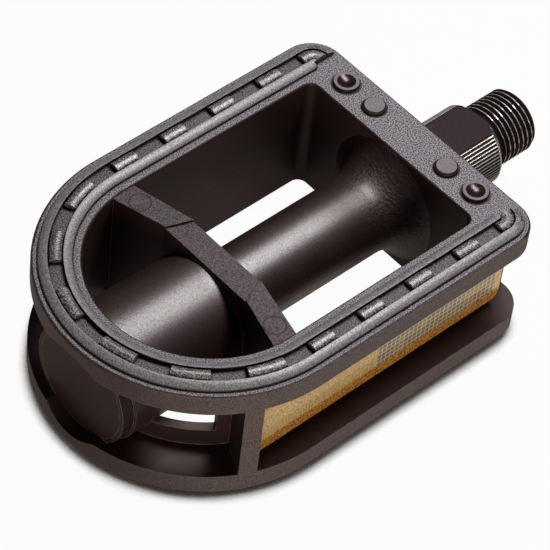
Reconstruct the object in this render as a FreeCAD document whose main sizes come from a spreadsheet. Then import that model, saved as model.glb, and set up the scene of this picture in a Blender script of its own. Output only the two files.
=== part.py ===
import FreeCAD, Part
import math
import operator
import os

import Sketcher

# Bicycle pedal in millimetres. The spindle lies along Y with +Y towards the crank, and Z is up.
# The origin is on the spindle's axis, at the shoulder that is tightened against the crank.

DRIVING_SIZES = {
    # Platform: two tread plates, their rails, the crank-side strip and the rounded outer end
    "platform_width": 68,
    "platform_length": 93.75,
    "platform_height": 29.2,
    "crank_gap": 16,
    "rail_width": 10,
    "strip_width": 10.3,
    "crank_corner_radius": 7,
    "opening_corner_radius": 2,
    "edge_radius": 0.6,
    "plate_height": 5,
    "side_wall": 2,
    "end_recess_angle": 62.4,
    "end_window_start": 29,
    "end_window_finish": 56,
    "end_window_height": 10.4,
    # Cross web between the rails, bent in plan, a little lower in its middle
    "web_distance": 58,
    "web_thickness": 5.6,
    "web_shift": 3.7,
    "web_middle_length": 22,
    "web_mitre": 2,
    "web_end_drop": 0.4,
    "web_middle_drop": 0.9,
    # Barrel round the spindle, with its flare at the strip and the outer bearing housing
    "barrel_radius": 8.7,
    "barrel_flare_radius": 9,
    "barrel_flare_reach": 14.2,
    "housing_radius": 12.8,
    "housing_end_radius": 13.3,
    "boss_radius": 12.75,
    "boss_length": 2.8,
    "boss_setback": 3.2,
    # Tread rib on both plates: two beads, the channel between them and the blocks in it
    "lip_width": 1.3,
    "bead_width": 1.9,
    "rib_step": 0.4,
    "rib_rise": 1.3,
    "channel_width": 3.1,
    "channel_depth": 1,
    "block_groove": 0.25,
    "block_shoulder_drop": 0.3,
    "block_rise": 0.3,
    "block_length": 5.4,
    "first_block_distance": 14.9,
    "last_block_distance": 1.15,
    "corner_block_length": 1.5,
    "end_block_angle": 14.7,
    "end_block_pitch": 28.8,
    # Pips on the strip: dished rings at the rails, flat studs nearer the middle
    "pip_distance": 5.1,
    "pip_rise": 0.9,
    "ring_pip_spacing": 38.2,
    "ring_pip_radius": 2.65,
    "ring_dish_radius": 2,
    "ring_dish_depth": 0.55,
    "stud_pip_spacing": 21.3,
    "stud_pip_radius": 2.5,
    "pip_bevel": 0.4,
    # Reflectors in the side recesses
    "reflector_start": 4.5,
    "reflector_length": 67,
    "reflector_height": 15.6,
    "reflector_corner_radius": 2.5,
    "reflector_end_gap": 0.5,
    "reflector_back_thickness": 1.2,
    "reflector_lens_thickness": 2.3,
    "lens_bevel": 0.5,
    "peg_radius": 2,
    "peg_depth": 1.1,
    "peg_spacing": 40,
    "peg_clearance": 0.05,
    # Spindle: crank thread, knurled collar with flats, shaft and outer thread
    "crank_thread_radius": 7.14,
    "crank_thread_length": 11.5,
    "crank_thread_chamfer": 0.9,
    "collar_radius": 9.1,
    "collar_length": 13.5,
    "collar_chamfer": 0.6,
    "flat_width": 15,
    "seal_seat_radius": 7.6,
    "end_thread_radius": 4,
    "end_thread_chamfer": 0.5,
    "keyway_width": 2.2,
    "keyway_depth": 1,
    # Bearings: loose balls between pressed cups and cones, the seats in from the strip and from the boss
    "ball_radius": 1.5875,
    "ball_circle_radius": 6.6,
    "race_clearance": 0.1,
    "bore_radius": 10.5,
    "seat_clearance": 0.02,
    "through_bore_radius": 6.2,
    "cup_bore_radius": 5.9,
    "cup_wall": 1.5,
    "cup_mouth": 2.4,
    "inner_cup_seat": 8,
    "outer_cup_seat": 16.05,
    # Dust seal, cone, washer, nut and end cap
    "seal_thickness": 2,
    "seal_gap": 0.05,
    "seal_clearance": 0.06,
    "thread_clearance": 0.05,
    "cone_nose": 0.3,
    "cone_gap": 0.3,
    "cone_radius": 7.4,
    "cone_length": 4.7,
    "cone_slot_width": 3,
    "cone_slot_depth": 1.2,
    "washer_radius": 7.2,
    "washer_thickness": 1.2,
    "washer_tab_width": 2,
    "washer_tab_depth": 0.8,
    "nut_width": 13,
    "nut_height": 3.5,
    "spindle_tail": 0.6,
    "cap_seat": 2.25,
    "cap_radius": 11.8,
    "cap_clearance": 0.05,
    "cap_skirt_length": 2.4,
    "cap_skirt_wall": 1.4,
    "cap_hollow_depth": 1.2,
    "cutter_overrun": 3,
}
BALLS_PER_ROW = 12
STRAIGHT_BLOCKS = 4
END_BLOCKS = 6


class Size:
    """A size with its value and the expression over the sheet that gives it."""

    def __init__(self, text, value):
        self.text = text
        self.value = value

    def combine(self, sign, first, second):
        """Join two sizes or numbers by an arithmetic sign."""
        a, b = as_size(first), as_size(second)
        work = {"+": operator.add, "-": operator.sub, "*": operator.mul, "/": operator.truediv}[sign]
        return Size(f"({a.text} {sign} {b.text})", work(a.value, b.value))

    def __add__(self, other):
        return self.combine("+", self, other)

    def __radd__(self, other):
        return self.combine("+", other, self)

    def __sub__(self, other):
        return self.combine("-", self, other)

    def __rsub__(self, other):
        return self.combine("-", other, self)

    def __mul__(self, other):
        return self.combine("*", self, other)

    def __rmul__(self, other):
        return self.combine("*", other, self)

    def __truediv__(self, other):
        return self.combine("/", self, other)

    def __neg__(self):
        return self.combine("-", 0, self)


def as_size(item):
    """A size as it is, or a plain number as a size."""
    return item if isinstance(item, Size) else Size(repr(float(item)), float(item))


def sine(angle):
    """Sine of an angle in degrees."""
    return Size(f"sin({angle.text})", math.sin(math.radians(angle.value)))


def cosine(angle):
    """Cosine of an angle in degrees."""
    return Size(f"cos({angle.text})", math.cos(math.radians(angle.value)))


def root(square):
    """Square root of a size."""
    return Size(f"sqrt({square.text})", math.sqrt(square.value))


def number(item):
    """Plain value of a size or a number."""
    return item.value if isinstance(item, Size) else float(item)


document = FreeCAD.newDocument("bicycle_pedal")
sheet = document.addObject("Spreadsheet::Sheet", "sizes")
for row, (alias, amount) in enumerate(DRIVING_SIZES.items(), start=1):
    sheet.set(f"A{row}", alias)
    sheet.set(f"B{row}", str(amount))
    sheet.setAlias(f"B{row}", alias)
document.recompute()


def size(alias):
    """One driving size of the sheet."""
    return Size(f"sizes.{alias}", float(sheet.get(alias)))


def bind(thing, prop, amount):
    """Tie a property to a size."""
    thing.setExpression(prop, amount.text)


def new_body(label):
    """Empty body for one sub-part."""
    body = document.addObject("PartDesign::Body", label)
    body.Label = label
    return body


def new_sketch(body, name, role, offset=None, across=None):
    """Sketch on an origin plane, moved along its normal by offset and along its own x by across."""
    sketch = body.newObject("Sketcher::SketchObject", name)
    plane = next(item for item in body.Origin.OriginFeatures if item.Role == role)
    sketch.AttachmentSupport = [(plane, "")]
    sketch.MapMode = "FlatFace"
    if offset is not None:
        bind(sketch, "AttachmentOffset.Base.z", offset)
    if across is not None:
        bind(sketch, "AttachmentOffset.Base.x", across)
    return sketch


def hold(sketch, geometry, end, point, axes="XY"):
    """Dimension a point of a sketch from the sketch's origin."""
    for axis, amount in zip("XY", point):
        if axis not in axes:
            continue
        distance = Sketcher.Constraint("Distance" + axis, -1, 1, geometry, end, number(amount))
        index = sketch.addConstraint(distance)
        if isinstance(amount, Size):
            sketch.setExpression(f"Constraints[{index}]", amount.text)


def vector(point):
    """Flat vector of a sketch point."""
    return FreeCAD.Vector(number(point[0]), number(point[1]), 0)


def draw_loop(sketch, corners):
    """Closed outline. A corner (x, y) starts a line, and (x, y, turn, centre) an arc, cw or ccw."""
    edges = []
    for index, corner in enumerate(corners):
        start = vector(corner)
        finish = vector(corners[(index + 1) % len(corners)])
        if len(corner) == 2:
            edges.append((sketch.addGeometry(Part.LineSegment(start, finish)), 1, 2))
            continue
        centre = vector(corner[3])
        first, last = (start, finish) if corner[2] == "ccw" else (finish, start)
        angles = [math.atan2(end.y - centre.y, end.x - centre.x) for end in (first, last)]
        if angles[1] <= angles[0]:
            angles[1] += 2 * math.pi
        circle = Part.Circle(centre, FreeCAD.Vector(0, 0, 1), (start - centre).Length)
        ends = (1, 2) if corner[2] == "ccw" else (2, 1)
        edges.append((sketch.addGeometry(Part.ArcOfCircle(circle, *angles)), *ends))
    for index, corner in enumerate(corners):
        geometry, start_end, finish_end = edges[index]
        next_geometry, next_end, _ = edges[(index + 1) % len(corners)]
        joint = Sketcher.Constraint("Coincident", geometry, finish_end, next_geometry, next_end)
        sketch.addConstraint(joint)
        before = corners[index - 1]
        axes = "XY"
        if len(before) > 2:
            arm = vector(corner) - vector(before[3])
            axes = "Y" if abs(arm.x) > abs(arm.y) else "X"
        hold(sketch, geometry, start_end, corner, axes)
        if len(corner) > 2:
            hold(sketch, geometry, 3, corner[3])


def draw_circle(sketch, centre, radius):
    """Circle with its centre and radius dimensioned."""
    circle = Part.Circle(vector(centre), FreeCAD.Vector(0, 0, 1), radius.value)
    geometry = sketch.addGeometry(circle)
    hold(sketch, geometry, 3, centre)
    index = sketch.addConstraint(Sketcher.Constraint("Radius", geometry, radius.value))
    sketch.setExpression(f"Constraints[{index}]", radius.text)


def box_corners(low, high):
    """Corners of an upright rectangle."""
    return [(low[0], low[1]), (high[0], low[1]), (high[0], high[1]), (low[0], high[1])]


def extrude(body, kind, sketch, length, symmetric=False, backwards=False):
    """Pad or Pocket of a sketch."""
    feature = body.newObject("PartDesign::" + kind, sketch.Name.replace("sketch", kind.lower()))
    feature.Profile = sketch
    feature.SideType = "Symmetric" if symmetric else "One side"
    feature.Reversed = backwards
    bind(feature, "Length", length)
    sketch.Visibility = False
    return feature


def turn(body, kind, sketch, angle=360, backwards=False):
    """Revolution or Groove of a sketch about its own vertical axis."""
    feature = body.newObject("PartDesign::" + kind, sketch.Name.replace("sketch", kind.lower()))
    feature.Profile = sketch
    feature.ReferenceAxis = (sketch, ["V_Axis"])
    feature.Angle = angle
    feature.Reversed = backwards
    return feature


def round_edges(body, kind, base, prop, amount, wanted):
    """Fillet or Chamfer of the base feature's edges that the test picks."""
    document.recompute()
    names = [f"Edge{index}" for index, edge in enumerate(base.Shape.Edges, start=1) if wanted(edge)]
    feature = body.newObject("PartDesign::" + kind, f"{base.Name}_{kind.lower()}")
    feature.Base = (base, names)
    bind(feature, prop, amount)
    return feature


def lies_at(edge, axis, value):
    """True where a whole edge lies in the plane where that axis has that value."""
    box = edge.BoundBox
    low, high = {"x": (box.XMin, box.XMax), "z": (box.ZMin, box.ZMax)}[axis]
    return abs(low - value) < 1e-4 and abs(high - value) < 1e-4


# Sizes that several pieces share
half_width = size("platform_width") / 2
half_height = size("platform_height") / 2
crank_edge = -size("crank_gap")
end_centre = crank_edge - size("platform_length") + half_width
opening_half = half_width - size("rail_width")
strip_edge = crank_edge - size("strip_width")
plate_gap = size("platform_height") - 2 * size("plate_height")
wall_outside = opening_half + size("side_wall")
overrun = size("cutter_overrun")

groove_radius = size("ball_radius") + size("race_clearance")
ball_circle = size("ball_circle_radius")
shaft_radius = ball_circle - groove_radius
race_radius = ball_circle + groove_radius
inner_seat = crank_edge - size("inner_cup_seat")
boss_end = crank_edge - size("platform_length") + size("boss_setback")
outer_seat = boss_end + size("outer_cup_seat")
inner_ball_line = inner_seat + size("cup_wall") + groove_radius
outer_ball_line = outer_seat - size("cup_wall") - groove_radius
cup_radius = size("bore_radius") - size("seat_clearance")
thread_bore = size("end_thread_radius") + size("thread_clearance")
cone_end = outer_ball_line - size("cone_length")
washer_end = cone_end - size("washer_thickness")
nut_end = washer_end - size("nut_height")
spindle_end = nut_end - size("spindle_tail")
cap_seat = boss_end + size("cap_seat")

reflector_crank_end = crank_edge - size("reflector_start")
reflector_outer_end = reflector_crank_end - size("reflector_length")
reflector_middle = reflector_crank_end - size("reflector_length") / 2


def platform_outline():
    """Outline of the tread plates, rounded at the crank corners and round at the outer end."""
    corner_x = half_width - size("crank_corner_radius")
    corner_y = crank_edge - size("crank_corner_radius")
    return [
        (half_width, corner_y),
        (half_width, end_centre, "cw", (0, end_centre)),
        (-half_width, end_centre),
        (-half_width, corner_y, "cw", (-corner_x, corner_y)),
        (-corner_x, crank_edge),
        (corner_x, crank_edge, "cw", (corner_x, corner_y)),
    ]


def opening_outline():
    """Outline of the opening inside the rails, rounded at the strip and round at the outer end."""
    corner_x = opening_half - size("opening_corner_radius")
    corner_y = strip_edge - size("opening_corner_radius")
    return [
        (opening_half, corner_y),
        (opening_half, end_centre, "cw", (0, end_centre)),
        (-opening_half, end_centre),
        (-opening_half, corner_y, "cw", (-corner_x, corner_y)),
        (-corner_x, strip_edge),
        (corner_x, strip_edge, "cw", (corner_x, corner_y)),
    ]


def web_line(side):
    """Long side of the cross web, from rail to rail: side 0 faces the crank, side 1 the outer end."""
    into_wall = opening_half + size("side_wall") / 2
    rail_y = crank_edge - size("web_distance") - size("web_thickness") * side
    middle_y = rail_y + size("web_shift")
    bend_x = size("web_middle_length") / 2 + size("web_mitre") * (side - 0.5)
    return [(into_wall, rail_y), (bend_x, middle_y), (-bend_x, middle_y), (-into_wall, rail_y)]


def barrel_profile():
    """Half section of flare, barrel, tapered housing and boss: radius against place along the spindle."""
    flare = size("barrel_flare_radius")
    reach = size("barrel_flare_reach")
    arc_x = size("barrel_radius") + flare
    arc_y = strip_edge - root(flare * flare - (arc_x - reach) * (arc_x - reach))
    housing_y = crank_edge - size("web_distance") + size("web_shift") - size("web_thickness") / 2
    boss_start = boss_end + size("boss_length")
    inside_strip = (strip_edge + crank_edge) / 2
    return [
        (0, inside_strip),
        (reach, inside_strip),
        (reach, strip_edge, "ccw", (arc_x, arc_y)),
        (size("barrel_radius"), arc_y),
        (size("barrel_radius"), housing_y),
        (size("housing_radius"), housing_y),
        (size("housing_end_radius"), boss_start),
        (size("boss_radius"), boss_start),
        (size("boss_radius"), boss_end),
        (0, boss_end),
    ]


def bore_profile():
    """Half section of the space for cups, spindle, nut and end cap."""
    bore = size("bore_radius")
    passage = size("through_bore_radius")
    socket = size("cap_radius") + size("cap_clearance")
    beyond = end_centre - half_width - overrun
    return [
        (0, crank_edge + overrun),
        (bore, crank_edge + overrun),
        (bore, inner_seat),
        (passage, inner_seat),
        (passage, outer_seat),
        (bore, outer_seat),
        (bore, cap_seat),
        (socket, cap_seat),
        (socket, beyond),
        (0, beyond),
    ]


def reflect(points, side, face):
    """Tread section for one rail and one face: left to right by side, upside down by face."""
    other_way = {"cw": "ccw", "ccw": "cw"}
    placed = []
    for point in points:
        corner = (side * point[0], face * point[1])
        if len(point) > 2:
            turns = point[2] if side * face > 0 else other_way[point[2]]
            corner += (turns, (side * point[3][0], face * point[3][1]))
        placed.append(corner)
    return placed


def arc_radius(half_chord, rise):
    """Radius of the arc that rises so far over half its chord."""
    return (half_chord * half_chord + rise * rise) / (2 * rise)


def tread_section(foot):
    """Rib section from its outer foot inwards: bead, channel with the bar that gives the blocks, bead."""
    width = size("bead_width")
    top = half_height + size("rib_rise")
    step = half_height + size("rib_step")
    floor = top - size("channel_depth")
    bead_centre = top - arc_radius(width, size("rib_rise") - size("rib_step"))
    crest = foot - width
    bar_outside = crest - size("block_groove")
    bar_half = size("channel_width") / 2 - size("block_groove")
    bar_middle = bar_outside - bar_half
    bar_inside = bar_middle - bar_half
    inner_crest = crest - size("channel_width")
    shoulder = top - size("block_shoulder_drop")
    block_top = top + size("block_rise")
    bar_centre = block_top - arc_radius(bar_half, block_top - shoulder)
    return [
        (foot, half_height - size("edge_radius")),
        (foot, step, "ccw", (crest, bead_centre)),
        (crest, top),
        (crest, floor),
        (bar_outside, floor),
        (bar_outside, shoulder, "ccw", (bar_middle, bar_centre)),
        (bar_inside, shoulder),
        (bar_inside, floor),
        (inner_crest, floor),
        (inner_crest, top, "ccw", (inner_crest, bead_centre)),
    ]


def rail_rib_section():
    """Whole tread rib across a rail."""
    foot = half_width - size("lip_width")
    inner_foot = foot - 2 * size("bead_width") - size("channel_width")
    closing = [
        (inner_foot, half_height + size("rib_step")),
        (inner_foot, half_height - size("edge_radius")),
    ]
    return tread_section(foot) + closing


def corner_rib_section():
    """Tread rib where it turns the crank-side corner, cut off at the corner's upright axis."""
    section = tread_section(size("crank_corner_radius") - size("lip_width"))
    inner_crest, top, _, centre = section[-1]
    bead_radius = top - centre[1]
    cut_height = centre[1] + root(bead_radius * bead_radius - inner_crest * inner_crest)
    return section + [(0, cut_height), (0, half_height - size("edge_radius"))]


def block_spans():
    """Start and finish of each block on a straight rail, the corner block's tail first."""
    tail_start = crank_edge - size("crank_corner_radius")
    spans = [(tail_start, tail_start - size("corner_block_length"))]
    first = crank_edge - size("first_block_distance")
    last_finish = end_centre + size("last_block_distance")
    pitch = (first - last_finish - size("block_length")) / (STRAIGHT_BLOCKS - 1)
    for index in range(STRAIGHT_BLOCKS):
        start = first - pitch * index
        spans.append((start, start - size("block_length")))
    return spans


def end_sector(outside, inside, low, high, straight=None):
    """Plan of a band on the rounded end, from one angle to another. A straight start joins it to a rail."""
    centre = (0, end_centre)
    far = [(outside * sine(high), end_centre - outside * cosine(high), "cw", centre),
           (outside * sine(low), end_centre - outside * cosine(low))]
    near = [(inside * sine(low), end_centre - inside * cosine(low), "ccw", centre),
            (inside * sine(high), end_centre - inside * cosine(high))]
    if straight is None:
        return far + near
    return [(outside, straight)] + far + near + [(inside, straight)]


def gap_loops():
    """Plan of the gaps between blocks: rectangles on the rails, sectors on the rounded end."""
    margin = size("block_groove") / 2
    outside = half_width - size("lip_width") - size("bead_width") - margin
    inside = outside + 2 * margin - size("channel_width")
    loops = []
    spans = block_spans()
    pitch, half_block = size("end_block_pitch"), size("end_block_angle") / 2
    quarter = Size("90", 90.0)
    first_end_block = pitch * ((END_BLOCKS - 1) / 2) + half_block
    joined = end_sector(outside, inside, first_end_block, quarter, spans[-1][1])
    for side in (1, -1):
        for (_, finish), (start, _) in zip(spans, spans[1:]):
            loops.append(box_corners((side * inside, start), (side * outside, finish)))
        loops.append([corner if side > 0 else reflect_across(corner) for corner in joined])
    for index in range(END_BLOCKS - 1):
        middle = pitch * (index + 1 - END_BLOCKS / 2)
        reach = pitch / 2 - half_block
        loops.append(end_sector(outside, inside, middle - reach, middle + reach))
    return loops


def reflect_across(corner):
    """A plan corner on the other rail."""
    if len(corner) == 2:
        return (-corner[0], corner[1])
    return (-corner[0], corner[1], {"cw": "ccw", "ccw": "cw"}[corner[2]], corner[3])


def add_ring_pip(body, name, across, face):
    """One ring with a round dish in its top, turned about its own upright axis."""
    base, top = half_height - size("edge_radius"), half_height + size("pip_rise")
    radius, dish, depth = size("ring_pip_radius"), size("ring_dish_radius"), size("ring_dish_depth")
    sphere = (dish * dish + depth * depth) / (2 * depth)
    sketch = new_sketch(body, f"{name}_sketch", "XZ_Plane", size("pip_distance") - crank_edge, across)
    draw_loop(sketch, [
        (0, face * base),
        (radius + size("pip_bevel") / 2, face * base),
        (radius, face * top),
        (dish, face * top, "cw" if face > 0 else "ccw", (0, face * (top - depth + sphere))),
        (0, face * (top - depth)),
    ])
    turn(body, "Revolution", sketch)


def add_stud_pip(body, name, across, face):
    """One flat bevelled stud on the strip."""
    base, top = half_height - size("edge_radius"), half_height + size("pip_rise")
    radius, bevel = size("stud_pip_radius"), size("pip_bevel")
    sketch = new_sketch(body, f"{name}_sketch", "XZ_Plane", size("pip_distance") - crank_edge, across)
    section = [(0, base), (radius, base), (radius, top - bevel), (radius - bevel, top), (0, top)]
    draw_loop(sketch, reflect(section, 1, face))
    turn(body, "Revolution", sketch)


def build_pedal_body():
    """The moulding: platform, openings, web, barrel, tread and pips."""
    body = new_body("pedal_body")
    sketch = new_sketch(body, "platform_sketch", "XY_Plane")
    draw_loop(sketch, platform_outline())
    extrude(body, "Pad", sketch, size("platform_height"), symmetric=True)
    sketch = new_sketch(body, "opening_sketch", "XY_Plane")
    draw_loop(sketch, opening_outline())
    opening = extrude(body, "Pocket", sketch, size("platform_height") + overrun, symmetric=True)
    top = half_height.value
    round_edges(body, "Fillet", opening, "Radius", size("edge_radius"),
                lambda edge: lies_at(edge, "z", top) or lies_at(edge, "z", -top))

    sketch = new_sketch(body, "recess_sketch", "XY_Plane")
    for side in (1, -1):
        recess_end = reflector_outer_end - size("reflector_end_gap")
        draw_loop(sketch, box_corners((side * wall_outside, recess_end),
                                      (side * (half_width + overrun), crank_edge + overrun)))
    extrude(body, "Pocket", sketch, plate_gap, symmetric=True)
    sketch = new_sketch(body, "end_recess_sketch", "XY_Plane")
    recess_angle = size("end_recess_angle")
    draw_loop(sketch, end_sector(half_width + overrun, wall_outside, -recess_angle, recess_angle))
    extrude(body, "Pocket", sketch, plate_gap, symmetric=True)
    sketch = new_sketch(body, "end_window_sketch", "XY_Plane")
    window = end_sector(wall_outside + overrun, opening_half - overrun,
                        size("end_window_start"), size("end_window_finish"))
    draw_loop(sketch, window)
    draw_loop(sketch, [reflect_across(corner) for corner in window])
    extrude(body, "Pocket", sketch, size("end_window_height"), symmetric=True)

    sketch = new_sketch(body, "web_sketch", "XY_Plane")
    crank_side, outer_side = web_line(0), web_line(1)
    draw_loop(sketch, crank_side + outer_side[::-1])
    extrude(body, "Pad", sketch, size("platform_height") - 2 * size("web_middle_drop"), symmetric=True)
    sketch = new_sketch(body, "web_end_sketch", "XY_Plane")
    draw_loop(sketch, [crank_side[0], crank_side[1], outer_side[1], outer_side[0]])
    draw_loop(sketch, [crank_side[3], crank_side[2], outer_side[2], outer_side[3]])
    extrude(body, "Pad", sketch, size("platform_height") - 2 * size("web_end_drop"), symmetric=True)

    sketch = new_sketch(body, "barrel_sketch", "XY_Plane")
    draw_loop(sketch, barrel_profile())
    turn(body, "Revolution", sketch)
    sketch = new_sketch(body, "bore_sketch", "XY_Plane")
    draw_loop(sketch, bore_profile())
    turn(body, "Groove", sketch)

    for side in (1, -1):
        name = "front_peg_sketch" if side > 0 else "rear_peg_sketch"
        sketch = new_sketch(body, name, "YZ_Plane", side * wall_outside)
        for place in (-1, 1):
            draw_circle(sketch, (reflector_middle + place * size("peg_spacing") / 2, 0),
                        size("peg_radius") + size("peg_clearance"))
        extrude(body, "Pocket", sketch, size("peg_depth") + size("peg_clearance"), backwards=side < 0)

    straight = size("crank_corner_radius") - crank_edge
    sketch = new_sketch(body, "rail_rib_sketch", "XZ_Plane", straight)
    for face in (1, -1):
        for side in (1, -1):
            draw_loop(sketch, reflect(rail_rib_section(), side, face))
    extrude(body, "Pad", sketch, -end_centre - straight)
    sketch = new_sketch(body, "end_rib_sketch", "XZ_Plane", -end_centre)
    for face in (1, -1):
        draw_loop(sketch, reflect(rail_rib_section(), 1, face))
    turn(body, "Revolution", sketch, 180, backwards=True)
    for side in (1, -1):
        name = "front_corner_rib_sketch" if side > 0 else "rear_corner_rib_sketch"
        across = side * (half_width - size("crank_corner_radius"))
        sketch = new_sketch(body, name, "XZ_Plane", straight, across)
        for face in (1, -1):
            draw_loop(sketch, reflect(corner_rib_section(), side, face))
        turn(body, "Revolution", sketch, 90, backwards=side < 0)
    floor = half_height + size("rib_rise") - size("channel_depth")
    for face, name in ((1, "upper_gap_sketch"), (-1, "lower_gap_sketch")):
        sketch = new_sketch(body, name, "XY_Plane", face * floor)
        for loop in gap_loops():
            draw_loop(sketch, loop)
        above_blocks = size("channel_depth") + size("block_rise") + overrun
        extrude(body, "Pocket", sketch, above_blocks, backwards=face > 0)
    for face, level in ((1, "upper"), (-1, "lower")):
        for side, place in ((1, "front"), (-1, "rear")):
            add_ring_pip(body, f"{level}_{place}_ring_pip", side * size("ring_pip_spacing") / 2, face)
            add_stud_pip(body, f"{level}_{place}_stud_pip", side * size("stud_pip_spacing") / 2, face)
    return body


def build_end_cap():
    """Round plug with a skirt. Its outer face is level with the boss."""
    body = new_body("end_cap")
    skirt = cup_radius
    skirt_inside = skirt - size("cap_skirt_wall")
    hollow = cap_seat - size("cap_hollow_depth")
    skirt_end = cap_seat + size("cap_skirt_length")
    sketch = new_sketch(body, "cap_sketch", "XY_Plane")
    draw_loop(sketch, [
        (0, hollow),
        (skirt_inside, hollow),
        (skirt_inside, skirt_end),
        (skirt, skirt_end),
        (skirt, cap_seat),
        (size("cap_radius"), cap_seat),
        (size("cap_radius"), boss_end),
        (0, boss_end),
    ])
    turn(body, "Revolution", sketch)
    return body


def build_cup(label, seat, ball_line, towards):
    """Pressed cup with its back on the seat. Its race opens towards +Y (towards 1) or -Y (-1)."""
    body = new_body(label)
    mouth = ball_line + towards * size("cup_mouth")
    race_turn = "cw" if towards > 0 else "ccw"
    sketch = new_sketch(body, f"{label}_sketch", "XY_Plane")
    draw_loop(sketch, [
        (size("cup_bore_radius"), seat),
        (cup_radius, seat),
        (cup_radius, mouth),
        (race_radius, mouth),
        (race_radius, ball_line, race_turn, (ball_circle, ball_line)),
        (ball_circle, ball_line - towards * groove_radius),
        (size("cup_bore_radius"), ball_line - towards * groove_radius),
    ])
    turn(body, "Revolution", sketch)
    return body


def build_balls(row_name, ball_line):
    """Loose balls of one bearing, evenly round the spindle."""
    balls = []
    for index in range(BALLS_PER_ROW):
        ball = document.addObject("Part::Sphere", f"{row_name}_{index + 1:02d}")
        angle = Size(repr(360 / BALLS_PER_ROW * index), 360 / BALLS_PER_ROW * index)
        bind(ball, "Radius", size("ball_radius"))
        bind(ball, "Placement.Base.x", ball_circle * sine(angle))
        bind(ball, "Placement.Base.y", ball_line)
        bind(ball, "Placement.Base.z", ball_circle * cosine(angle))
        balls.append(ball)
    return balls


def build_spindle():
    """Axle from the crank thread to the outer thread, with the inner cone turned on it."""
    body = new_body("spindle")
    thread, chamfer = size("crank_thread_radius"), size("crank_thread_chamfer")
    collar, collar_chamfer = size("collar_radius"), size("collar_chamfer")
    tail, tail_chamfer = size("end_thread_radius"), size("end_thread_chamfer")
    collar_back = -size("collar_length")
    shaft_end = outer_ball_line + size("cone_nose") + size("cone_gap")
    sketch = new_sketch(body, "spindle_sketch", "XY_Plane")
    draw_loop(sketch, [
        (0, spindle_end),
        (tail - tail_chamfer, spindle_end),
        (tail, spindle_end + tail_chamfer),
        (tail, shaft_end),
        (shaft_radius, shaft_end),
        (shaft_radius, inner_ball_line, "cw", (ball_circle, inner_ball_line)),
        (ball_circle, inner_ball_line + groove_radius),
        (size("seal_seat_radius"), inner_ball_line + groove_radius),
        (size("seal_seat_radius"), collar_back),
        (collar - collar_chamfer, collar_back),
        (collar, collar_back + collar_chamfer),
        (collar, -collar_chamfer),
        (collar - collar_chamfer, 0),
        (thread, 0),
        (thread, size("crank_thread_length") - chamfer),
        (thread - chamfer, size("crank_thread_length")),
        (0, size("crank_thread_length")),
    ])
    turn(body, "Revolution", sketch)
    sketch = new_sketch(body, "flat_sketch", "YZ_Plane")
    for face in (1, -1):
        draw_loop(sketch, box_corners((collar_back - overrun / 10, face * size("flat_width") / 2),
                                      (overrun / 10, face * (collar + overrun))))
    extrude(body, "Pocket", sketch, 2 * (collar + overrun), symmetric=True)
    sketch = new_sketch(body, "keyway_sketch", "XZ_Plane", -shaft_end)
    half = size("keyway_width") / 2
    draw_loop(sketch, box_corners((-half, tail - size("keyway_depth")), (half, tail + overrun)))
    extrude(body, "Pocket", sketch, shaft_end - spindle_end + overrun, backwards=True)
    return body


def build_outer_cone():
    """Adjusting cone on the outer thread, slotted at its outer end for a spanner."""
    body = new_body("outer_cone")
    nose = outer_ball_line + size("cone_nose")
    sketch = new_sketch(body, "cone_sketch", "XY_Plane")
    draw_loop(sketch, [
        (thread_bore, nose),
        (shaft_radius, nose),
        (shaft_radius, outer_ball_line, "ccw", (ball_circle, outer_ball_line)),
        (ball_circle, outer_ball_line - groove_radius),
        (size("cone_radius"), outer_ball_line - groove_radius),
        (size("cone_radius"), cone_end),
        (thread_bore, cone_end),
    ])
    turn(body, "Revolution", sketch)
    sketch = new_sketch(body, "cone_slot_sketch", "XZ_Plane", -cone_end)
    half = size("cone_slot_width") / 2
    reach = size("cone_radius") + overrun
    draw_loop(sketch, box_corners((-reach, -half), (reach, half)))
    extrude(body, "Pocket", sketch, size("cone_slot_depth"))
    return body


def build_lock_washer():
    """Flat ring with a tab that runs in the spindle's keyway."""
    body = new_body("lock_washer")
    sketch = new_sketch(body, "washer_sketch", "XZ_Plane", -cone_end)
    draw_circle(sketch, (0, 0), size("washer_radius"))
    draw_circle(sketch, (0, 0), thread_bore)
    extrude(body, "Pad", sketch, size("washer_thickness"))
    sketch = new_sketch(body, "washer_tab_sketch", "XZ_Plane", -cone_end)
    half = size("washer_tab_width") / 2
    ring_middle = (thread_bore + size("washer_radius")) / 2
    draw_loop(sketch, box_corners((-half, thread_bore - size("washer_tab_depth")), (half, ring_middle)))
    extrude(body, "Pad", sketch, size("washer_thickness"))
    return body


def build_lock_nut():
    """Hexagon nut that locks the cone."""
    body = new_body("lock_nut")
    sketch = new_sketch(body, "nut_sketch", "XZ_Plane", -washer_end)
    corner_radius = size("nut_width") / math.sqrt(3)
    angles = [Size(repr(60.0 * step), 60.0 * step) for step in range(6)]
    draw_loop(sketch, [(corner_radius * cosine(angle), corner_radius * sine(angle)) for angle in angles])
    draw_circle(sketch, (0, 0), thread_bore)
    extrude(body, "Pad", sketch, size("nut_height"))
    return body


def build_dust_seal():
    """Ring in the mouth of the crank-side bore, running close round the spindle."""
    body = new_body("inner_dust_seal")
    start = inner_ball_line + size("cup_mouth") + size("seal_gap")
    sketch = new_sketch(body, "seal_sketch", "XY_Plane")
    low = (size("seal_seat_radius") + size("seal_clearance"), start)
    high = (cup_radius, start + size("seal_thickness"))
    draw_loop(sketch, box_corners(low, high))
    turn(body, "Revolution", sketch)
    return body


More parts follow.
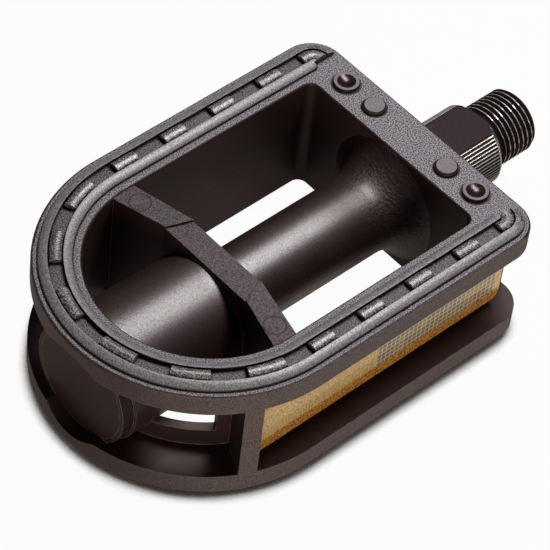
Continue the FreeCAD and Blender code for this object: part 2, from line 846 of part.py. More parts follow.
def reflector_outline():
    """Outline of a reflector along and up the side, with its crank-end corners rounded."""
    half = size("reflector_height") / 2
    radius = size("reflector_corner_radius")
    corner_y = reflector_crank_end - radius
    return [
        (reflector_outer_end, -half),
        (corner_y, -half, "ccw", (corner_y, radius - half)),
        (reflector_crank_end, radius - half),
        (reflector_crank_end, half - radius, "ccw", (corner_y, half - radius)),
        (corner_y, half),
        (reflector_outer_end, half),
    ]


def build_reflector(place, side):
    """Carrier plate with two pegs in the body's wall, and the lens on it. side is +1 or -1 along X."""
    plate = new_body(f"{place}_reflector_back")
    sketch = new_sketch(plate, f"{place}_back_sketch", "YZ_Plane", side * wall_outside)
    draw_loop(sketch, reflector_outline())
    extrude(plate, "Pad", sketch, size("reflector_back_thickness"), backwards=side < 0)
    sketch = new_sketch(plate, f"{place}_back_peg_sketch", "YZ_Plane", side * wall_outside)
    for end in (-1, 1):
        draw_circle(sketch, (reflector_middle + end * size("peg_spacing") / 2, 0), size("peg_radius"))
    extrude(plate, "Pad", sketch, size("peg_depth"), backwards=side > 0)

    lens = new_body(f"{place}_reflector_lens")
    lens_back = wall_outside + size("reflector_back_thickness")
    sketch = new_sketch(lens, f"{place}_lens_sketch", "YZ_Plane", side * lens_back)
    draw_loop(sketch, reflector_outline())
    pad = extrude(lens, "Pad", sketch, size("reflector_lens_thickness"), backwards=side < 0)
    face = side * (lens_back + size("reflector_lens_thickness")).value
    round_edges(lens, "Chamfer", pad, "Size", size("lens_bevel"), lambda edge: lies_at(edge, "x", face))
    return [plate, lens]


pieces = [build_pedal_body(), build_end_cap(), build_dust_seal()]
pieces.append(build_cup("inner_bearing_cup", inner_seat, inner_ball_line, 1))
pieces.append(build_cup("outer_bearing_cup", outer_seat, outer_ball_line, -1))
pieces += build_balls("inner_ball", inner_ball_line)
pieces += build_balls("outer_ball", outer_ball_line)
pieces += [build_spindle(), build_outer_cone(), build_lock_washer(), build_lock_nut()]
pieces += build_reflector("front", 1)
pieces += build_reflector("rear", -1)
document.recompute()

for item in document.Objects:
    if "Invalid" in item.State or "Error" in item.State:
        raise RuntimeError(f"{item.Name} failed: {item.State}")
for piece in pieces:
    if piece.Shape.isNull() or not piece.Shape.isValid() or len(piece.Shape.Solids) != 1:
        raise RuntimeError(f"{piece.Label} has no valid single solid")

os.makedirs("parts", exist_ok=True)
for piece in pieces:
    piece.Shape.exportStep(f"parts/{piece.Label}.step")
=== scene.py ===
import math
from types import SimpleNamespace

import bpy
import numpy as np
from mathutils import Matrix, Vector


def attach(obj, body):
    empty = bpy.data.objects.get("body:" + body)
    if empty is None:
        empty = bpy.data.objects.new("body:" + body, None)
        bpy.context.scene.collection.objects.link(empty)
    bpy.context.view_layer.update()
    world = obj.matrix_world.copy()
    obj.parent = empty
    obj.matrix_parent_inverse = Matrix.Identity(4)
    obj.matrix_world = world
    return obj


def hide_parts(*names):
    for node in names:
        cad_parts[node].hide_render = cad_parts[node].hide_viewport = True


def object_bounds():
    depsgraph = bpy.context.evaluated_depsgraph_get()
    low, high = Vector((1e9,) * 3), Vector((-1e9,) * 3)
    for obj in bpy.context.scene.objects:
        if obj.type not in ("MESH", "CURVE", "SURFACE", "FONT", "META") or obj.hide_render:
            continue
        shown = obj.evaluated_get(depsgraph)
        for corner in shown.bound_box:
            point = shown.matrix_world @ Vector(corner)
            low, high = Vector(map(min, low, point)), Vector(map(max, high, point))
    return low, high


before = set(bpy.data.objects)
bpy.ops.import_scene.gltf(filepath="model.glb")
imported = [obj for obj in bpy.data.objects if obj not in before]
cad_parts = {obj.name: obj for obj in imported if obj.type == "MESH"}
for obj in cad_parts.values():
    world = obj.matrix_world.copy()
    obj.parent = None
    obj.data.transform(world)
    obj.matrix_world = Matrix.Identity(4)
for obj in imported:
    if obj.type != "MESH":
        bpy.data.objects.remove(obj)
cad_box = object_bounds()

# Spindle: turned from one steel bar and blacked. The crank end has a rolled thread and a collar with two
# milled spanner flats between knurled sides, the shaft carries the inner cone, and the outer end is threaded.
# Its sizes are in millimetres, along the axis from the collar's crank face.
MM = 0.001
COLUMNS, KNURL_RIDGES = 288, 72
THREAD_ROWS, TAIL_ROWS, PLAIN_ROWS, GROOVE_ROWS = 14, 6, 8, 10
row_gap, row_inset = 0.01, 0.05
thread_major, thread_pitch, thread_depth, thread_start = 7.14, 1.27, 0.72, 0.75
thread_root_share, thread_flank_share, thread_lead, thread_fade = 0.12, 0.72, 0.1, 0.6
spindle_tip, tip_run_out = 11.5, 0.9
collar_radius, collar_back, collar_chamfer, flat_height = 9.1, -13.5, 0.6, 7.5
knurl_back, knurl_front, knurl_depth = collar_back + 0.65, -1.4, 0.24
tail_end, tail_point, tail_chamfer, tail_neck, tail_major = -103.687, 3.5, 0.5, 3.9, 4.0
tail_pitch, tail_depth, tail_root_share, tail_flank_share = 1.0, 0.5, 0.1, 0.75
shaft_end, shaft_radius, seal_seat_radius = -93.087, 4.9125, 7.6
ball_circle, groove_radius, inner_balls = 6.6, 1.6875, -20.8125
keyway_half, keyway_floor, smallest_cosine = 1.1, 3.0, 1e-6
shoulder_outline = [(-1.3, collar_radius), (-0.75, collar_radius - 0.35),
                    (-0.02, collar_radius - 1.1), (0.0, 7.3)]
relief_outline = [(0.1, 6.55), (thread_start - 0.15, 6.5)]
tip_outline = [(spindle_tip - 0.85, 7.0), (spindle_tip - 0.4, 6.62),
               (spindle_tip - 0.1, 6.3), (spindle_tip, 6.1)]
spindle_crease = 28


def saw(phase):
    """Even V between 0 and 1 over each whole turn of the phase: 0 at whole numbers, 1 halfway."""
    return 1 - np.abs(2 * (phase - np.floor(phase)) - 1)


def lathe_mesh(name, places, radii, angles):
    """Surface round the Y axis: row i lies at places[i], column j at angles[j] from Z towards X, and their
    point at radii[i, j]. Rows and columns join into quads, and the first and last row close on the axis."""
    rows, columns = radii.shape
    along = np.broadcast_to(places[:, None], radii.shape)
    grid = np.stack([radii * np.sin(angles), along, radii * np.cos(angles)], -1)
    poles = np.array([[0, places[0], 0], [0, places[-1], 0]])
    points = np.concatenate([grid.reshape(-1, 3), poles]) * MM
    here = np.arange(rows * columns).reshape(rows, columns)
    after = np.roll(here, -1, axis=1)
    quads = np.stack([here[:-1], here[1:], after[1:], after[:-1]], -1).reshape(-1, 4)
    start_fan = np.stack([here[0], after[0], np.full(columns, rows * columns)], -1)
    end_fan = np.stack([after[-1], here[-1], np.full(columns, rows * columns + 1)], -1)
    mesh = bpy.data.meshes.new(name)
    mesh.from_pydata(points.tolist(), [], quads.tolist() + start_fan.tolist() + end_fan.tolist())
    return mesh


def place_piece(name, mesh, sharp_angle):
    """Object at the origin with smooth faces, creased where neighbours meet at more than the angle."""
    mesh.polygons.foreach_set("use_smooth", np.ones(len(mesh.polygons), bool))
    mesh.set_sharp_from_angle(angle=math.radians(sharp_angle))
    piece = bpy.data.objects.new(name, mesh)
    bpy.context.scene.collection.objects.link(piece)
    return piece


def spindle_profile():
    """Turned outline as places and radii, from the outer end to the crank end: threaded tail, shaft, a
    quarter circle for the balls, seal seat, collar, relief and thread. Threads get several rows a pitch."""
    tail_places = np.arange(tail_end + tail_chamfer, shaft_end - row_gap, tail_pitch / TAIL_ROWS)
    shaft_places = np.linspace(shaft_end + row_inset, inner_balls - row_inset, PLAIN_ROWS)
    knurl_places = np.linspace(knurl_back + row_inset, knurl_front - 2 * row_inset, PLAIN_ROWS)
    thread_places = np.arange(thread_start, spindle_tip - tip_run_out, thread_pitch / THREAD_ROWS)
    quarter = np.radians(np.linspace(180, 90, GROOVE_ROWS))
    groove_places, groove_radii = groove_radius * np.sin(quarter), groove_radius * np.cos(quarter)
    groove = np.stack([inner_balls + groove_places, ball_circle + groove_radii], 1)
    profile = [(tail_end, tail_point), *((y, tail_major) for y in tail_places)]
    profile += [(shaft_end - row_gap / 2, tail_neck), (shaft_end, shaft_radius)]
    profile += [(y, shaft_radius) for y in shaft_places] + groove.tolist()
    profile += [(inner_balls + groove_radius + row_gap, seal_seat_radius)]
    profile += [(collar_back - row_gap, seal_seat_radius)]
    profile += [(collar_back, collar_radius - collar_chamfer), (collar_back + collar_chamfer, collar_radius)]
    profile += [(y, collar_radius) for y in knurl_places] + shoulder_outline + relief_outline
    profile += [(y, thread_major) for y in thread_places] + tip_outline
    return np.array(profile).T


def spindle_surface():
    """Radius over place and angle. Threads are a V that climbs one pitch a turn, the knurl is a V round the
    collar, flats and keyway are planes z = const, and the rest is the turned profile alone."""
    places, turned = spindle_profile()
    angles = np.arange(COLUMNS) * 2 * np.pi / COLUMNS
    turn = angles / (2 * np.pi)
    y, base = places[:, None], np.repeat(turned[:, None], COLUMNS, 1)
    flank = np.clip((saw(y / thread_pitch - turn) - thread_root_share) / thread_flank_share, 0, 1)
    fade = np.clip((y - thread_start + thread_lead) / thread_fade, 0, 1)
    cut = thread_major - thread_depth * (1 - flank * fade)
    radii = np.where(y >= thread_start, np.minimum(base, cut), base)
    tail_flank = np.clip((saw(y / tail_pitch - turn) - tail_root_share) / tail_flank_share, 0, 1)
    tail = y < shaft_end - row_gap
    radii = np.where(tail, np.minimum(base, tail_major - tail_depth * (1 - tail_flank)), radii)
    slot = (np.abs(tail_major * np.sin(angles)) < keyway_half) & (np.cos(angles) > 0)
    radii = np.where(tail & slot, np.minimum(radii, keyway_floor / np.cos(angles)), radii)
    knurled = (y > knurl_back) & (y < knurl_front)
    radii = np.where(knurled, radii - knurl_depth * (1 - saw(KNURL_RIDGES * turn)), radii)
    collar = (y >= collar_back) & (y < 0)
    upright = np.maximum(np.abs(np.cos(angles)), smallest_cosine)
    radii = np.where(collar, np.minimum(radii, flat_height / upright), radii)
    return places, radii, angles


class Shade:
    """A socket in a material's nodes. Arithmetic with numbers or other sockets adds Math nodes."""

    def __init__(self, tree, socket=None):
        self.tree, self.socket = tree, socket

    def node(self, kind, settings=None, sockets=None, output=0):
        """Add any node: its settings first, then the values or links of its sockets."""
        made = self.tree.nodes.new("ShaderNode" + kind)
        for name, setting in (settings or {}).items():
            setattr(made, name, setting)
        for name, given in (sockets or {}).items():
            if isinstance(given, Shade):
                self.tree.links.new(given.socket, made.inputs[name])
            else:
                made.inputs[name].default_value = given
        return Shade(self.tree, made.outputs[output])

    def math(self, operation, *others):
        """Math node on this value and the others."""
        return self.node("Math", {"operation": operation}, dict(enumerate((self, *others))))

    def ramp(self, low, high, to_low=0.0, to_high=1.0):
        """Smooth step: to_low below low, to_high above high."""
        ends = {"Value": self, "From Min": low, "From Max": high, "To Min": to_low, "To Max": to_high}
        return self.node("MapRange", {"interpolation_type": "SMOOTHSTEP"}, ends)

    def mix(self, first, second):
        """Colour that goes from first to second as this value goes from 0 to 1."""
        return self.node("Mix", {"data_type": "RGBA"}, {0: self, 6: first, 7: second}, output=2)

    def larger(self, other):
        """The larger of the two values."""
        return self.math("MAXIMUM", other)

    def __add__(self, other):
        return self.math("ADD", other)

    def __radd__(self, other):
        return self + other

    def __sub__(self, other):
        return self.math("SUBTRACT", other)

    def __rsub__(self, other):
        return self.node("Math", {"operation": "SUBTRACT"}, {0: other, 1: self})

    def __mul__(self, other):
        return self.math("MULTIPLY", other)

    def __rmul__(self, other):
        return self * other

    def __truediv__(self, other):
        return self.math("DIVIDE", other)

    def __rtruediv__(self, other):
        return self.node("Math", {"operation": "DIVIDE"}, {0: other, 1: self})

    def __abs__(self):
        return self.math("ABSOLUTE")


def distance(across, along):
    """Length of the way with these two parts, square to each other: the root of the sum of their squares."""
    return (across * across + along * along).math("SQRT")


def new_finish(name):
    """Material with its shader, and the sockets of object position and its three coordinates."""
    material = bpy.data.materials.new(name)
    material.use_nodes = True
    tree = material.node_tree
    shader = tree.nodes["Principled BSDF"]
    place = Shade(tree).node("TexCoord", output=3)
    axes = [place.node("SeparateXYZ", sockets={0: place}, output=axis) for axis in range(3)]
    return material, shader, place, axes


def feed(shader, **sockets):
    """Set or link the shader's sockets by name, with _ for a space."""
    for name, given in sockets.items():
        socket = shader.inputs[name.replace("_", " ")]
        if isinstance(given, Shade):
            given.tree.links.new(given.socket, socket)
        else:
            socket.default_value = given


def noise(place, per_metre, detail=2.0, rough=0.5, stretch=(1, 1, 1)):
    """Noise around 0.5 at that many cells per metre, stretched by a factor along each axis."""
    scaled = place.node("Mapping", {"vector_type": "POINT"}, {"Vector": place, "Scale": stretch})
    sockets = {"Vector": scaled, "Scale": per_metre, "Detail": detail, "Roughness": rough}
    return place.node("TexNoise", sockets=sockets)


def bump(height, depth, strength=1.0, normal=None):
    """Surface relief of that depth in metres."""
    sockets = {"Height": height, "Distance": depth, "Strength": strength}
    if normal is not None:
        sockets["Normal"] = normal
    return height.node("Bump", sockets=sockets)


def black_oxide():
    """Blacked steel. Thread crests and knurl ridges are worn bright by their distance from the axis, the
    collar's rounded shoulder a little, and the spanner flats keep a brown mottle."""
    material, shader, place, (x, y, z) = new_finish("black_oxide_steel")
    radius = distance(x, z)
    crest_radius, ridge_radius, flat_level = thread_major * MM, collar_radius * MM, flat_height * MM
    on_thread = y.ramp(0.0004, 0.0008)
    near_flat = abs(z).ramp(flat_level - 0.0003, flat_level - 0.0001)
    crest = radius.ramp(crest_radius - 0.00006, crest_radius) * on_thread
    ridge = radius.ramp(ridge_radius - 0.00011, ridge_radius - 0.00001) * (1 - on_thread)
    shoulder = y.ramp(-0.0016, -0.0011) * (1 - y.ramp(0.0001, 0.0003)) * (1 - near_flat)
    patchy = noise(place, 700, 3.0).ramp(0.38, 0.62)
    bright = (crest + shoulder * 0.3) * (0.15 + 0.85 * patchy) + ridge * (0.75 + 0.25 * patchy)
    blacked = noise(place, 420, 4.0, 0.6).mix((0.005, 0.0032, 0.0035, 1), (0.014, 0.0090, 0.0102, 1))
    mottle = noise(place, 2400, 3.0, 0.6).ramp(0.3, 0.7)
    brown = mottle.mix((0.012, 0.0062, 0.0080, 1), (0.026, 0.0150, 0.0185, 1))
    tone = ((1 - on_thread) * near_flat).mix(blacked, brown)
    grit = noise(place, 5200, 2.0, stretch=(1, 0.4, 1))
    feed(shader, Base_Color=bright.mix(tone, (0.80, 0.77, 0.72, 1)), Metallic=bright,
         Roughness=0.62 - 0.34 * bright, Specular_IOR_Level=0.2, Specular_Tint=(1.0, 0.78, 0.84, 1),
         Normal=bump(grit, 0.00002, 0.5))
    return material


spindle = place_piece("turned_spindle", lathe_mesh("turned_spindle", *spindle_surface()), spindle_crease)
spindle.data.materials.append(black_oxide())
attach(spindle, "spindle_group")
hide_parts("spindle")


# Bearings: two rows of hardened balls between pressed steel cups, the spindle's own cone and a cone that is
# screwed on, set with a keyed washer and a thin nut. A rubber ring keeps dirt out on the crank side.
BALLS_A_ROW = 12
turning_radians_a_metre, turning_slope = 52000, 1.2


def turned_steel():
    """Ground steel with an oil stain. Its fine turning marks are a sine of the way along the axis and out
    from it."""
    material, shader, place, (x, y, z) = new_finish("turned_bearing_steel")
    marks = ((distance(x, z) * turning_slope + y) * turning_radians_a_metre).math("SINE")
    stain = noise(place, 180, 4.0).ramp(0.35, 0.75)
    feed(shader, Base_Color=stain.mix((0.56, 0.56, 0.57, 1), (0.40, 0.37, 0.33, 1)), Metallic=1.0,
         Roughness=0.24 + 0.14 * stain, Normal=bump(marks, 0.000004, 0.3))
    return material


def polished_ball():
    """Polished chrome steel with a faint mottled roughness."""
    material, shader, place, _ = new_finish("polished_ball_steel")
    mottle = noise(place, 1600, 3.0)
    feed(shader, Base_Color=mottle.mix((0.72, 0.72, 0.74, 1), (0.82, 0.82, 0.84, 1)), Metallic=1.0,
         Roughness=0.06 + 0.08 * mottle)
    return material


def seal_rubber():
    """Matte black rubber with a dusty bloom."""
    material, shader, place, _ = new_finish("seal_rubber")
    bloom = noise(place, 700, 4.0).ramp(0.4, 0.8)
    feed(shader, Base_Color=bloom.mix((0.012, 0.012, 0.012, 1), (0.045, 0.043, 0.041, 1)),
         Roughness=0.62 + 0.2 * bloom, Normal=bump(noise(place, 5200, 3.0), 0.00002, 0.5))
    return material


def dress(finish, *nodes):
    """Give CAD nodes a finish in place of their plain one."""
    for name in nodes:
        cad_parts[name].data.materials.clear()
        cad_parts[name].data.materials.append(finish)


dress(turned_steel(), "inner_bearing_cup", "outer_bearing_cup", "outer_cone", "lock_washer", "lock_nut")
ball_numbers = range(1, BALLS_A_ROW + 1)
dress(polished_ball(), *(f"{row}_ball_{number:02d}" for row in ("inner", "outer") for number in ball_numbers))
dress(seal_rubber(), "inner_dust_seal")


# Body: one moulding in black glass-filled nylon, like the cap pressed into its end and the carriers. Lips,
# strip and web tops have a spark-eroded grain, tread and barrel are smoother, and the mould leaves a parting
# line and two ejector marks on the web. Sizes are in metres from here on.
lip_level, channel_floor, web_level = 0.0146, 0.0149, 0.0137
bead_foot, bead_start, bead_side = 0.00004, 0.00012, (0.00016, 0.00030)
strip_edge, strip_end, end_centre, boss_end = -0.0263, 0.0250, -0.07575, -0.10655
housing_radius, flare_reach, flare_start, rim_radius = 0.0135, 0.0150, -0.0346, 0.0338
ring_pip_x, stud_x, pip_y, ring_dish_radius = 0.0191, 0.01065, -0.0211, 0.0020
ring_foot, stud_foot, foot_line = 0.00300, 0.00265, (0.00012, 0.00034)
channel_inner, channel_outer = 0.0277, 0.0308
ejector_x, ejector_y, ejector_radius, ejector_line = 0.0200, -0.0757, 0.00225, (0.00006, 0.00026)
parting_line, edge_round, groove_reach = (0.00006, 0.00018), 0.00025, 0.0011
polish_rise, polish_fall, hammered_root = (-0.079, -0.076), (-0.050, -0.039), (-0.040, -0.033)
gloss_inset, soft = 0.003, 0.0001
# Near black for the parting line and the ejector rings, and for painted shade at the bead and pip bases.
ink_and_painted_shade = (0.004, 0.003, 0.003, 1)


def line_at(way, place, core, fade):
    """1 within core of the place on the way, falling to 0 at fade from it."""
    return 1 - abs(way - place).ramp(core, fade)


def outline_way(x, y):
    """Distance from the middle line, which stops at the centre of the rounded end."""
    return distance(x, (end_centre - y).larger(0.0))


def nylon_places(place, x, y, z):
    """Masks of the moulding's parts, 1 on the part and 0 elsewhere, from level, distance and facing."""
    facing = place.node("TexCoord", output=1)
    face_x, face_z = (place.node("SeparateXYZ", sockets={0: facing}, output=axis) for axis in (0, 2))
    height, radius, outline = abs(z), distance(x, z), outline_way(x, y)
    dish_way, stud_way = (distance(abs(x) - pip_x, y - pip_y) for pip_x in (ring_pip_x, stud_x))
    on = SimpleNamespace(height=height, upward=abs(face_z))
    on.flat = on.upward.ramp(0.90, 0.985)
    on.top = height.ramp(web_level - 3 * soft, web_level - soft)
    on.strip = 1 - abs(x).ramp(strip_end - 5 * soft, strip_end)
    on.strip = on.strip * y.ramp(strip_edge - soft, strip_edge + soft)
    on.tread = height.ramp(channel_floor + bead_foot, channel_floor + bead_start) * (1 - on.strip)
    on.dish = 1 - dish_way.ramp(ring_dish_radius - soft, ring_dish_radius)
    on.dish = on.dish * height.ramp(lip_level, lip_level + soft)
    on.grain = on.flat * on.top * (1 - on.tread) * (1 - on.dish)
    on.channel = height.ramp(lip_level + 2 * soft, channel_floor - 0.2 * soft)
    on.channel = on.channel * (1 - on.tread) * (1 - on.strip)
    # A thin dark line round the base of studs and ring pips: painted shade.
    on.foot = line_at(stud_way, stud_foot, *foot_line).larger(line_at(dish_way, ring_foot, *foot_line))
    on.foot = on.foot * on.flat * on.strip * (1 - height.ramp(lip_level + 2 * soft, lip_level + 4 * soft))
    on.stud = on.flat * on.strip * height.ramp(lip_level + 3 * soft, lip_level + 6 * soft) * (1 - on.dish)

    outward = (face_x * x + face_z * z) / radius
    reach = housing_radius + (flare_reach - housing_radius) * y.ramp(flare_start, flare_start + 3 * soft)
    on.barrel = (1 - (radius - reach).ramp(0.0, soft)) * outward.ramp(0.28, 0.34)
    on.barrel = on.barrel * y.ramp(boss_end + gloss_inset, boss_end + gloss_inset + 2 * soft)
    on.barrel = on.barrel * (1 - y.ramp(strip_edge - soft, strip_edge))
    on.hammered = y.ramp(*hammered_root)
    # Outer sides past the rim take the sanded tone, but only a third of it where they face the end: painted
    # shade there.
    on.rim_side = outline.ramp(rim_radius - 3 * soft, rim_radius) * (1 - on.flat)
    on.rim_side = on.rim_side * abs(face_x).ramp(0.30, 1.0, 0.30, 1.0)
    on.block = on.tread * outline.ramp(channel_inner, channel_inner + soft)
    on.block = on.block * (1 - outline.ramp(channel_outer - soft, channel_outer))
    polish = y.ramp(*polish_rise, 0.8, 1.0) * y.ramp(*polish_fall, 1.0, 0.40) + 0.2 * on.hammered
    on.gloss = (on.barrel * polish).larger(on.tread * (0.5 + 0.5 * on.block))
    return on


def mould_marks(place, on, x, y, z):
    """Adds masks for edges, where a rounded normal bends away from the face's own, to paint lighter for wear
    and painted highlight, for narrow grooves, where little sky is open, to paint as shade, and for what
    moulding leaves: the parting line and the ejector pins' rings."""
    on.edge_normal = place.node("Bevel", {"samples": 6}, {"Radius": edge_round})
    own_normal = place.node("NewGeometry", output=1)
    normals = {0: on.edge_normal, 1: own_normal}
    bend = place.node("VectorMath", {"operation": "DOT_PRODUCT"}, normals, output=1)
    look_out = {"samples": 6, "only_local": True}
    open_sky = place.node("AmbientOcclusion", look_out, {"Distance": groove_reach}, output=1)
    on.groove = (1 - open_sky.ramp(0.45, 0.86)) * on.top
    on.rubbed = (1 - bend).ramp(0.02, 0.20) * noise(place, 800, 3.0).ramp(0.30, 0.60)
    on.rubbed = on.rubbed * (1 - on.dish) * (1 - on.groove)
    on.parting = line_at(z, 0.0, *parting_line) * (1 - on.flat) * (1 - on.barrel)
    on.ejector = line_at(distance(abs(x) - ejector_x, y - ejector_y), ejector_radius, *ejector_line)
    on.ejector = on.ejector * z.ramp(web_level, web_level + 2 * soft)
    on.ejector = on.ejector * (1 - z.ramp(lip_level - 2 * soft, lip_level))


def cover(material, shader, amount, other):
    """Blend the material's own shader into the other one by the amount."""
    tree = material.node_tree
    blended = other.node("MixShader", sockets={0: amount, 1: Shade(tree, shader.outputs[0]), 2: other})
    tree.links.new(blended.socket, tree.nodes["Material Output"].inputs["Surface"])


def black_nylon():
    """Black nylon, dull on the walls. Flat tops are pitted, with a darker copy of the grain on the web and in
    the channel as painted shade. Rim sides look sanded, with painted shade where they face the end. Bead tops
    are paler, partly grain and partly painted highlight, blocks get painted glints, pips a painted line of
    shade round their base, rounded edges are lighter for wear and painted highlight, and narrow grooves are
    painted shade. Barrel and tread are glossy."""
    material, shader, place, axes = new_finish("black_nylon")
    on = nylon_places(place, *axes)
    mould_marks(place, on, *axes)
    speck = noise(place, 3700, 2.0, 0.6)
    coarse = noise(place, 1300, 3.0, 0.6)
    fine = noise(place, 6400, 2.0, 0.6)
    cloud = noise(place, 120, 4.0, 0.55)
    dull = cloud.mix((0.0085, 0.0036, 0.0034, 1), (0.0225, 0.0105, 0.0100, 1))
    pitted = speck.ramp(0.41, 0.60).mix((0.014, 0.013, 0.016, 1), (0.275, 0.270, 0.294, 1))
    shaded_grain = speck.ramp(0.38, 0.62).mix((0.004, 0.003, 0.004, 1), (0.084, 0.080, 0.090, 1))
    grained_highlit_tread = speck.ramp(0.30, 0.70).mix((0.060, 0.058, 0.063, 1), (0.250, 0.243, 0.257, 1))
    sanded = speck.ramp(0.34, 0.66).mix((0.046, 0.036, 0.034, 1), (0.150, 0.126, 0.120, 1))
    painted_glint = speck.ramp(0.46, 0.66).mix((0.016, 0.012, 0.012, 1), (0.330, 0.315, 0.315, 1))

    # The web, below the lips, and the channel get a darker copy of the grain: painted shade for their lower
    # places.
    low = (1 - on.height.ramp(lip_level - 3 * soft, lip_level - soft)).larger(on.channel * 0.7)
    # The lowest part of the tread, along the bead sides, is painted near black: painted shade in the crease.
    bead_foot_shade = on.tread * (1 - on.height.ramp(*(channel_floor + rise for rise in bead_side)))
    surface = on.rim_side.mix(on.grain.mix(dull, low.mix(pitted, shaded_grain)), sanded)
    # Upward-facing parts of the tread are painted paler: grain together with a painted highlight on the bead
    # tops.
    surface = (on.tread * on.upward.ramp(0.35, 0.85)).mix(surface, grained_highlit_tread)
    # Blocks take a dark tone with bright painted glints.
    surface = on.block.mix(surface, painted_glint)
    surface = bead_foot_shade.mix(surface, ink_and_painted_shade)
    surface = (on.stud * 0.85).mix(surface, (0.138, 0.134, 0.142, 1))
    # Rounded edges are painted lighter: partly wear, partly painted highlight.
    surface = (on.rubbed * 0.8).mix(surface, (0.220, 0.206, 0.206, 1))
    # Ejector rings and the parting line are dark marks; the line round the pip bases is painted shade.
    surface = (on.ejector * 0.95 + on.parting * 0.5 + on.foot * 0.9).mix(surface, ink_and_painted_shade)
    relief = on.grain * (0.4 * coarse + speck) * (1 - 0.8 * on.stud)
    relief = relief + fine * (0.16 + 0.10 * on.gloss) * (1 - on.dish) + on.gloss * 1.3 * speck
    relief = relief + on.barrel * on.hammered * 10.0 * coarse - on.ejector * 0.8 + on.parting * 0.5
    feed(shader, Base_Color=surface, Roughness=0.50 + 0.08 * on.grain + 0.10 * (cloud - 0.5) - 0.28 * on.dish,
         IOR=1.46, Specular_Tint=(1.0, 0.76, 0.76, 1),
         Coat_Weight=on.gloss * speck.ramp(0.36, 0.62, 0.45, 1.0), Coat_Roughness=0.36, Coat_IOR=1.7,
         Normal=bump(relief, 0.00008, 0.5, on.edge_normal))
    # Narrow grooves are blended into this near-black shader: painted shade.
    shadow = place.node("BsdfDiffuse", sockets={"Color": (0.002, 0.0015, 0.0015, 1)})
    cover(material, shader, on.groove * 0.9, shadow)
    return material


dress(black_nylon(), "pedal_body", "end_cap", "front_reflector_back", "rear_reflector_back")


# Reflectors: clear amber lenses, smooth outside and moulded with rows of small prisms inside. Each is welded
# to a black carrier whose two pegs snap into the recess in the body's side.
prism_cell, border_level = 0.0012, (0.0040, 0.0048)
grid_start, grid_end = (-0.0555, -0.0545), (-0.0232, -0.0228)


def amber_lens():
    """Amber plastic over prisms that turn the light back like small mirrors. One field is a plain square
    grid, the other a finer golden one, with an amber border along both edges. A faint glow in the lens's
    own colour is a painted glow for the light the prisms send back."""
    material, shader, place, (_, y, z) = new_finish("amber_prism_lens")
    along, up = (abs((axis * (1 / prism_cell)).math("FRACT") - 0.5) for axis in (y, z))
    seam = along.larger(up).ramp(0.34, 0.47)
    clouding = noise(place, 260, 2.0).ramp(0.5, 0.7)
    field = y.ramp(*grid_start) * (1 - y.ramp(*grid_end)) * (1 - 0.5 * clouding)
    border = abs(z).ramp(*border_level)
    sparkle = noise(place, 2400, 3.0, 0.65)
    gold = sparkle.ramp(0.30, 0.70).mix((0.50, 0.28, 0.055, 1), (0.98, 0.74, 0.34, 1))
    cells = noise(place, 700, 2.0).mix((0.15, 0.105, 0.050, 1), (0.42, 0.31, 0.15, 1))
    grid = (seam * (0.45 + 0.55 * sparkle)).mix(cells, (0.98, 0.90, 0.68, 1))
    rim = noise(place, 2300, 2.0, 0.6).ramp(0.34, 0.66).mix((0.200, 0.062, 0.008, 1), (0.95, 0.46, 0.08, 1))
    facets = seam * (0.25 + 0.75 * field) + 0.5 * sparkle
    glass = border.mix(field.mix(gold, grid), rim)
    # The emission is a painted glow: the lens is no lamp.
    feed(shader, Base_Color=glass, Emission_Color=glass, Emission_Strength=0.10, Metallic=0.45,
         Roughness=0.26 + 0.16 * sparkle, Coat_Weight=1.0, Coat_Roughness=0.03,
         Normal=bump(facets, 0.00014, 0.5))
    return material


dress(amber_lens(), "front_reflector_lens", "rear_reflector_lens")


# Set: a white sheet under one softbox that hangs above and a little behind the crank end, in a dim room. A
# low card in front lights the side that shows, and a long lens looks down on the outer end's front corner.
floor_half, floor_drop = 3.0, 0.00002
shadow_edge, contact_reach, room_light = (0.0275, 0.0300), 0.0045, 0.05
lamp_aim = np.array([0.0, -0.06, 0.0])


def white_sheet():
    """White paper. It throws warm light back, and looks white to the camera with a narrow painted shadow
    under the pedal's outer lip, where little sky is open."""
    material, shader, place, (x, y, _) = new_finish("white_sheet")
    paper = noise(place, 6, 2.0).mix((0.46, 0.40, 0.36, 1), (0.48, 0.42, 0.38, 1))
    feed(shader, Base_Color=paper, Roughness=0.9, Specular_IOR_Level=0.0)
    seen, mirrored, through = (place.node("LightPath", output=ray)
                               for ray in ("Is Camera Ray", "Is Glossy Ray", "Is Transmission Ray"))
    outside = outline_way(x, y).ramp(*shadow_edge)
    open_sky = place.node("AmbientOcclusion", {"samples": 8}, {"Distance": contact_reach}, output=1)
    # Painted shadow: the floor the camera sees is darkened where little sky is open, outside the pedal's
    # outline.
    painted_contact_shadow = (1 - open_sky.ramp(0.45, 0.74)) * outside
    tint = painted_contact_shadow.mix((1, 1, 1, 1), (0.035, 0.026, 0.024, 1))
    glow = place.node("Emission", sockets={"Color": seen.mix((0.50, 0.44, 0.40, 1), tint), "Strength": 1.0})
    looked_at = (seen * 0.96).larger(mirrored * 0.5).larger(through * 0.96)
    cover(material, shader, looked_at, glow)
    return material


floor_z = cad_box[0].z - floor_drop
floor_sides = ((-1, -1), (1, -1), (1, 1), (-1, 1))
floor_corners = [(floor_half * side_x, floor_half * side_y, floor_z) for side_x, side_y in floor_sides]
floor_mesh = bpy.data.meshes.new("floor")
floor_mesh.from_pydata(floor_corners, [], [(0, 1, 2, 3)])
floor_mesh.materials.append(white_sheet())
floor = bpy.data.objects.new("floor", floor_mesh)
bpy.context.scene.collection.objects.link(floor)

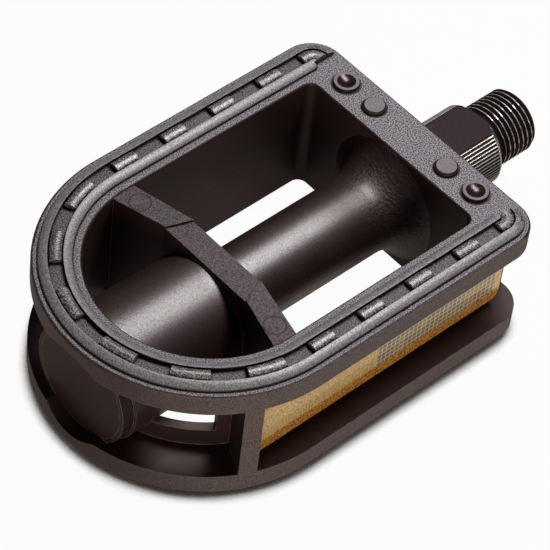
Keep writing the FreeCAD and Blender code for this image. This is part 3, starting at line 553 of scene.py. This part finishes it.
room = bpy.data.worlds.new("dim_room")
bpy.context.scene.world = room
room.use_nodes = True
room.node_tree.nodes["Background"].inputs["Color"].default_value = (1, 1, 1, 1)
room.node_tree.nodes["Background"].inputs["Strength"].default_value = room_light


def facing_matrix(right, upward, back, stand):
    """Placing of a lamp or camera from its own three directions and its stand."""
    placing = np.eye(4)
    placing[:3, :3] = np.stack([right, upward, back], 1)
    placing[:3, 3] = stand
    return Matrix(placing.tolist())


def hang_lamp(name, stand, guide, width, depth, watts, colour):
    """Rectangular lamp at the stand that faces lamp_aim. Its width lies square to the guide direction."""
    light = bpy.data.lights.new(name, "AREA")
    light.shape, light.size, light.size_y = "RECTANGLE", width, depth
    light.energy, light.color = watts, colour
    back = (stand - lamp_aim) / np.linalg.norm(stand - lamp_aim)
    across = np.cross(guide, back) / np.linalg.norm(np.cross(guide, back))
    lamp = bpy.data.objects.new(name, light)
    lamp.matrix_world = facing_matrix(across, np.cross(back, across), back, stand)
    bpy.context.scene.collection.objects.link(lamp)


hang_lamp("softbox", stand=np.array([-0.014, 0.082, 0.315]), guide=(0.0, 1.0, 0.0),
          width=0.24, depth=0.10, watts=1.40, colour=(1.0, 1.0, 1.0))
hang_lamp("bounce_card", stand=np.array([0.36, -0.40, 0.06]), guide=(0.0, 0.0, 1.0),
          width=0.40, depth=0.10, watts=1.4, colour=(1.0, 0.90, 0.84))

# The camera stands above the outer end's front corner, turned a little about its own axis. Its lengths are in
# millimetres, and its focal length is in pixels of the square picture.
azimuth, elevation, roll = (math.radians(angle) for angle in (42.763, 48.606, 7.290))
camera_distance, shift_right, shift_up, aim_y = 639.362, -5.304, -5.328, -49.0
focal_pixels, picture_pixels = 3175.0, 550
level = np.array([math.cos(azimuth), math.sin(azimuth), 0])
outward = np.array([math.sin(azimuth), -math.cos(azimuth), 0])
back = outward * math.cos(elevation) + np.array([0, 0, math.sin(elevation)])
upright = np.cross(back, level)
right = level * math.cos(roll) + upright * math.sin(roll)
upward = upright * math.cos(roll) - level * math.sin(roll)
stand = np.array([0, aim_y, 0]) + back * camera_distance + right * shift_right + upward * shift_up
lens = bpy.data.cameras.new("camera")
lens.sensor_width = 36
lens.lens = focal_pixels / picture_pixels * lens.sensor_width
lens.clip_start, lens.clip_end = 0.01, 20
camera = bpy.data.objects.new("camera", lens)
camera.matrix_world = facing_matrix(right, upward, back, stand * MM)
bpy.context.scene.collection.objects.link(camera)
bpy.context.scene.camera = camera
bpy.context.scene.view_settings.view_transform = "Standard"
